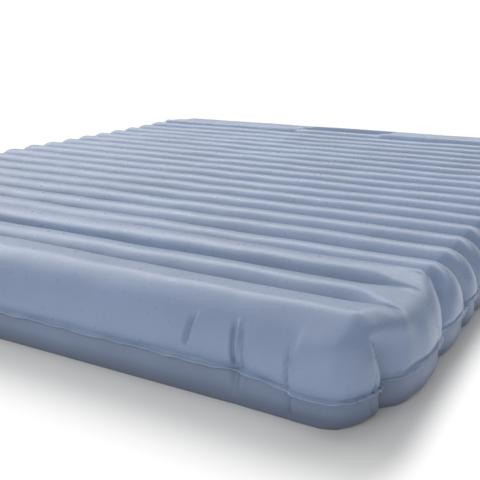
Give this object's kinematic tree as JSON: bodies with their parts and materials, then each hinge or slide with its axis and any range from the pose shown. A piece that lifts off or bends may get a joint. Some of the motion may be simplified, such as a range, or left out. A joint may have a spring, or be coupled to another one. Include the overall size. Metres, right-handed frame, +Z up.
{
  "type": "pressure relief mattress",
  "caption": "Inflated pressure relief mattress: transverse air cells in a welded ridged cover, end bolsters, and a recessed bay with fill valve, quick-deflate valve and pump connection.",
  "frame": {"origin": "centre of the footprint on the floor plane, under the lower cover", "axes": "+Z up; +Y along the length towards the end with the port bay; +X across the width"},
  "size_m": [1.57, 1.9804, 0.136],
  "materials": {
    "upper_cover": "satin coated stretch fabric",
    "lower_cover": "satin coated fabric",
    "cell_film": "soft film",
    "base_fabric": "woven",
    "webbing": "woven webbing",
    "hose": "soft tube",
    "pocket": "moulded",
    "panel": "moulded",
    "white_plastic": "moulded",
    "black_plastic": "moulded",
    "red_plastic": "moulded",
    "blue_plastic": "moulded",
    "seal_rubber": "soft",
    "spring_steel": "drawn wire",
    "sleeve_brass": "turned"
  },
  "bodies": {
    "mattress": {"upper_cover": "upper_cover", "lower_cover": "lower_cover", "cell_base_sheet": "base_fabric", "cell_strap_left": "webbing", "cell_strap_right": "webbing", "air_hose_a": "hose", "air_hose_b": "hose", "port_bay_pocket": "pocket", "port_panel": "panel", "port_backing_frame": "white_plastic", "fill_valve_gasket": "seal_rubber", "fill_valve_body": "white_plastic", "fill_valve_spring": "spring_steel", "fill_valve_cap_pin": "spring_steel", "cpr_valve_gasket": "seal_rubber", "cpr_valve_body": "white_plastic", "cpr_spring": "spring_steel", "port_socket": "black_plastic", "port_sleeve_a": "sleeve_brass", "port_sleeve_b": "sleeve_brass", "port_spring_a": "spring_steel", "port_spring_b": "spring_steel", "transport_cap_pin": "spring_steel", "foot_bolster_cell": "cell_film", "head_bolster_cell": "cell_film", "air_cell_01": "cell_film", "air_cell_02": "cell_film", "air_cell_03": "cell_film", "air_cell_04": "cell_film", "air_cell_05": "cell_film", "air_cell_06": "cell_film", "air_cell_07": "cell_film", "air_cell_08": "cell_film", "air_cell_09": "cell_film", "air_cell_10": "cell_film", "air_cell_11": "cell_film", "air_cell_12": "cell_film", "air_cell_13": "cell_film", "air_cell_14": "cell_film", "air_cell_15": "cell_film", "air_cell_16": "cell_film", "air_cell_17": "cell_film", "air_cell_18": "cell_film", "air_cell_19": "cell_film", "air_cell_20_left": "cell_film", "air_cell_20_right": "cell_film", "panel_screw_1": "spring_steel", "panel_screw_2": "spring_steel", "panel_screw_3": "spring_steel", "panel_screw_4": "spring_steel"},
    "fill_valve_cap_body": {"fill_valve_cap": "blue_plastic"},
    "fill_poppet_body": {"fill_valve_poppet": "white_plastic"},
    "cpr_knob_body": {"cpr_knob": "red_plastic"},
    "cpr_plunger_body": {"cpr_plunger": "seal_rubber"},
    "port_poppet_a_body": {"port_poppet_a": "blue_plastic"},
    "port_poppet_b_body": {"port_poppet_b": "blue_plastic"},
    "release_left_body": {"release_button_left": "blue_plastic"},
    "release_right_body": {"release_button_right": "blue_plastic"},
    "transport_cap_body": {"transport_cap": "blue_plastic"}
  },
  "joints": [
    {"name": "fill_cap_hinge", "type": "hinge", "parent": "mattress", "child": "fill_valve_cap_body", "pos_m": [-0.1142, 0.8075, 0.0809], "axis": [0, -1, 0], "range_deg": [0, 115]},
    {"name": "fill_poppet_slide", "type": "slide", "parent": "mattress", "child": "fill_poppet_body", "axis": [0, 0, -1], "range_m": [0, 0.004], "stiffness_N_per_m": 250, "springref_m": -0.002, "deforming": ["fill_valve_spring"]},
    {"name": "cpr_knob_turn", "type": "hinge", "parent": "mattress", "child": "cpr_knob_body", "pos_m": [0.09, 0.8075, 0.0777], "axis": [0, 0, 1], "range_deg": [0, 90]},
    {"name": "cpr_plunger_slide", "type": "slide", "parent": "mattress", "child": "cpr_plunger_body", "axis": [0, 0, -1], "range_m": [0, 0.005], "deforming": ["cpr_spring"]},
    {"name": "port_poppet_a_slide", "type": "slide", "parent": "mattress", "child": "port_poppet_a_body", "axis": [0, 0, -1], "range_m": [0, 0.003], "stiffness_N_per_m": 200, "springref_m": -0.002, "deforming": ["port_spring_a"]},
    {"name": "port_poppet_b_slide", "type": "slide", "parent": "mattress", "child": "port_poppet_b_body", "axis": [0, 0, -1], "range_m": [0, 0.003], "stiffness_N_per_m": 200, "springref_m": -0.002, "deforming": ["port_spring_b"]},
    {"name": "release_left_slide", "type": "slide", "parent": "mattress", "child": "release_left_body", "axis": [1, 0, 0], "range_m": [0, 0.0025], "stiffness_N_per_m": 600, "springref_m": -0.001},
    {"name": "release_right_slide", "type": "slide", "parent": "mattress", "child": "release_right_body", "axis": [-1, 0, 0], "range_m": [0, 0.0025], "stiffness_N_per_m": 600, "springref_m": -0.001},
    {"name": "transport_cap_hinge", "type": "hinge", "parent": "mattress", "child": "transport_cap_body", "pos_m": [0, 0.8261, 0.0926], "axis": [-1, 0, 0], "range_deg": [0, 105]}
  ],
  "couplings": [
    {"joint": "cpr_knob_turn", "follows": "cpr_plunger_slide", "rad_per_m": 314.16}
  ]
}
